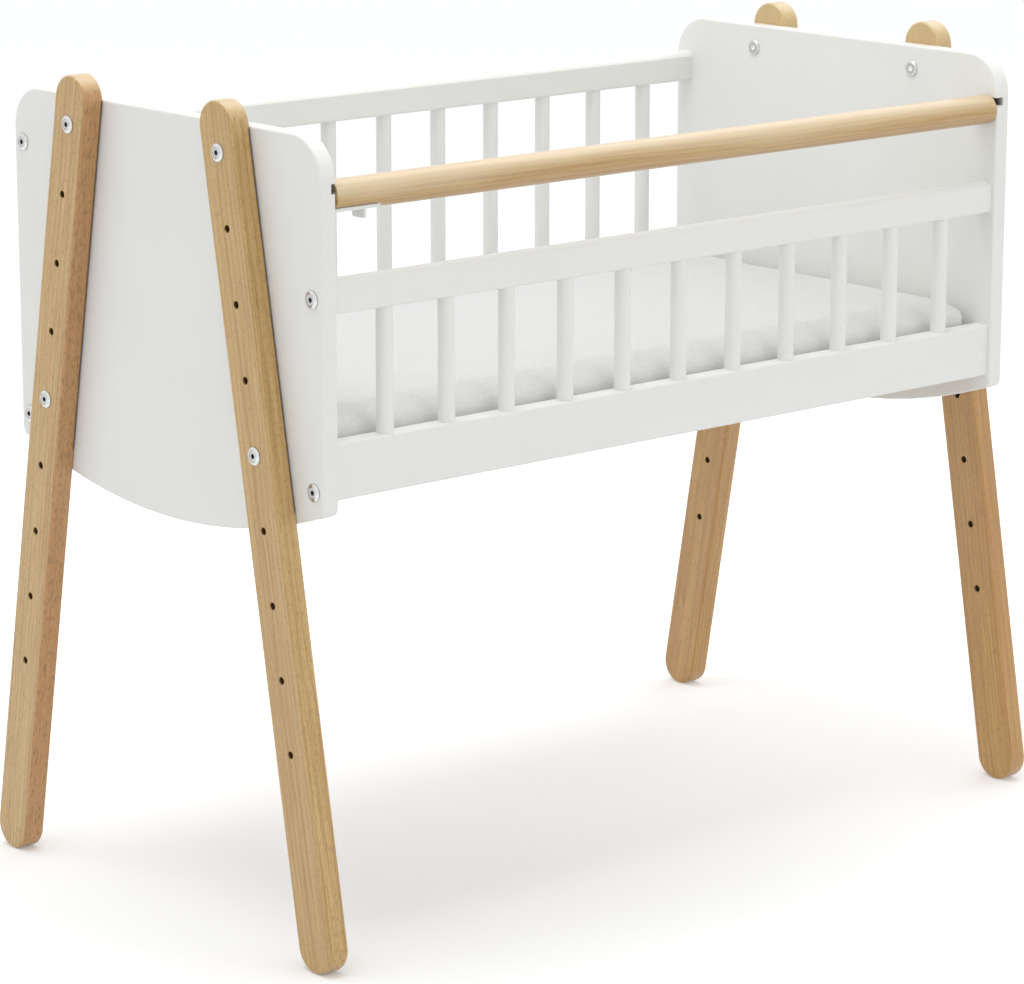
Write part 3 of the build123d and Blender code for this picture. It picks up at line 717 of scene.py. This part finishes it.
cover = bpy.data.objects.new("mattress_cover", nodes["mattress"].data.copy())
bpy.context.scene.collection.objects.link(cover)
bpy.ops.object.select_all(action="DESELECT")
bpy.context.view_layer.objects.active = cover
cover.select_set(True)
bpy.ops.object.mode_set(mode="EDIT")
bpy.ops.mesh.select_all(action="SELECT")
bpy.ops.mesh.remove_doubles(threshold=0.00002)
bpy.ops.transform.shrink_fatten(value=-cover_shrink)
bpy.ops.object.mode_set(mode="OBJECT")
bpy.ops.object.modifier_add(type="REMESH")
cover.modifiers[0].mode = "VOXEL"
cover.modifiers[0].voxel_size = cover_voxel
bpy.ops.object.modifier_apply(modifier=cover.modifiers[0].name)
half_size = (mattress_high - mattress_low) / 2
wide = half_size + Vector((cover_end_room, cover_side_room, 0))
for point in cover.data.vertices:
    own = point.co - mattress_middle
    core = Vector([
        min(max(own[n], corner_round - half_size[n]), half_size[n] - corner_round) for n in (0, 1)
    ])
    out = own.xy - core
    if min(abs(out.x), abs(out.y)) > 0:
        out *= (out.length / max(abs(out.x), abs(out.y))) ** corner_sharpening
    flat = core + out
    flat = Vector((flat.x * wide.x / half_size.x, flat.y * wide.y / half_size.y))
    height = abs(own.z) / half_size.z
    inset = edge_inset * height**3
    flat = Vector((flat.x * (1 - inset / wide.x), flat.y * (1 - inset / wide.y)))
    from_edge = min(wide.x - inset - abs(flat.x), wide.y - inset - abs(flat.y))
    drop = edge_drop * max(0.0, 1 - from_edge / edge_width) ** 2 * height
    point.co = mattress_middle + Vector((flat.x, flat.y, own.z * (1 - drop / half_size.z)))
at_first = [point.co.copy() for point in cover.data.vertices]
bpy.ops.object.modifier_add(type="CLOTH")
cloth = cover.modifiers[0]
cloth.settings.use_pressure = True
cloth.settings.uniform_pressure_force = cover_pressure
cloth.settings.quality = 5
cloth.settings.effector_weights.gravity = 0
cloth.settings.bending_stiffness = 2
for frame_number in range(1, blowing_frames + 1):
    bpy.context.scene.frame_set(frame_number)
bpy.ops.object.modifier_apply(modifier=cloth.name)
bpy.context.scene.frame_set(1)
for point, start in zip(cover.data.vertices, at_first):
    travel = point.co - start
    if travel.length > cover_swell:
        point.co = start + travel.normalized() * cover_swell
cover_low = mattress_low - Vector((cover_end_room, cover_side_room, 0))
cover_high = mattress_high + Vector((cover_end_room, cover_side_room, cover_top_room))
for point in cover.data.vertices:
    point.co = [min(max(at, low), high) for at, low, high in zip(point.co, cover_low, cover_high)]
bpy.ops.object.modifier_add(type="SMOOTH")
cover.modifiers[0].factor = 0.5
cover.modifiers[0].iterations = 2
bpy.ops.object.modifier_apply(modifier=cover.modifiers[0].name)
bpy.ops.object.modifier_add(type="SUBSURF")
cover.modifiers[0].levels = 1
cover.modifiers[0].render_levels = 1
bpy.ops.object.modifier_apply(modifier=cover.modifiers[0].name)
bpy.ops.object.shade_smooth()

seam_corner = 0.011
seam_radius = 0.0007
seam_inset = 0.0012
seam_level = mattress_low.z + 0.0035
bpy.ops.object.select_all(action="DESELECT")
seam_middle = (mattress_middle.x, mattress_middle.y, seam_level)
bpy.ops.mesh.primitive_plane_add(size=1, location=seam_middle)
seam = bpy.context.object
seam.name = "mattress_seam"
seam.scale = (
    mattress_high.x - mattress_low.x - 2 * seam_inset,
    mattress_high.y - mattress_low.y - 2 * seam_inset,
    1,
)
bpy.ops.object.transform_apply(location=True, rotation=True, scale=True)
bpy.ops.object.mode_set(mode="EDIT")
bpy.ops.mesh.select_all(action="SELECT")
bpy.ops.mesh.bevel(offset=seam_corner, segments=8, affect="VERTICES")
bpy.ops.mesh.select_all(action="SELECT")
bpy.ops.mesh.delete(type="ONLY_FACE")
bpy.ops.mesh.select_all(action="SELECT")
bpy.ops.mesh.subdivide(number_cuts=24)
bpy.ops.object.mode_set(mode="OBJECT")
bpy.ops.object.modifier_add(type="SHRINKWRAP")
seam.modifiers[0].target = cover
seam.modifiers[0].offset = 0.0002
bpy.ops.object.modifier_apply(modifier=seam.modifiers[0].name)
bpy.ops.object.convert(target="CURVE")
seam.data.bevel_depth = seam_radius
seam.data.bevel_resolution = 1
bpy.ops.object.convert(target="MESH")
bpy.ops.object.shade_smooth()

weave_fineness = 300
# One cotton in two greys by the way each part faces: the side band painted lighter against its
# shade, the top darker against its light.
band_painted_against_shade_dark, band_painted_against_shade_light = (0.790, 0.800, 0.785, 1), (0.880, 0.885, 0.870, 1)
top_painted_against_light_dark, top_painted_against_light_light = (0.635, 0.642, 0.636, 1), (0.690, 0.694, 0.688, 1)
material, tree, shader = surface(
    "cover_cotton", Specular_IOR_Level=0.12, Roughness=0.92, Sheen_Weight=0.12, Sheen_Roughness=0.5
)
place = own_place(tree)
thread = {}
for direction in ("X", "Y", "Z"):
    thread[direction] = add_node(
        tree,
        "TexWave",
        {0: place, "Scale": weave_fineness, "Distortion": 0.6, "Detail": 1},
        bands_direction=direction,
    ).outputs[0]
weave = 0.0
for first, second in (("X", "Y"), ("X", "Z"), ("Y", "Z")):
    crossing = worked(tree, "MULTIPLY", thread[first], thread[second])
    weave = worked(tree, "ADD", crossing, weave)
slubs = clouds(tree, place, 520, 3)
patches = clouds(tree, place, 26, 3)
speckle = worked(tree, "MULTIPLY", weave, 0.1)
speckle = worked(tree, "ADD", speckle, ranged(tree, patches, 0.3, 0.7, 0.0, 0.2))
speckle = worked(tree, "ADD", speckle, ranged(tree, slubs, 0.36, 0.64, 0.0, 0.7))
upward = split(tree, add_node(tree, "NewGeometry").outputs["Normal"])[2]
band = blended(tree, speckle, band_painted_against_shade_dark, band_painted_against_shade_light)
panel = blended(tree, speckle, top_painted_against_light_dark, top_painted_against_light_light)
cotton = blended(tree, ranged(tree, upward, 0.1, 0.98), band, panel)
tree.links.new(cotton, shader.inputs["Base Color"])
relief(tree, shader, worked(tree, "ADD", worked(tree, "MULTIPLY", weave, 0.35), slubs), 0.00022)
for piece in (cover, seam):
    piece.data.materials.clear()
    piece.data.materials.append(material)
    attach(piece, "mattress")
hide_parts("mattress")
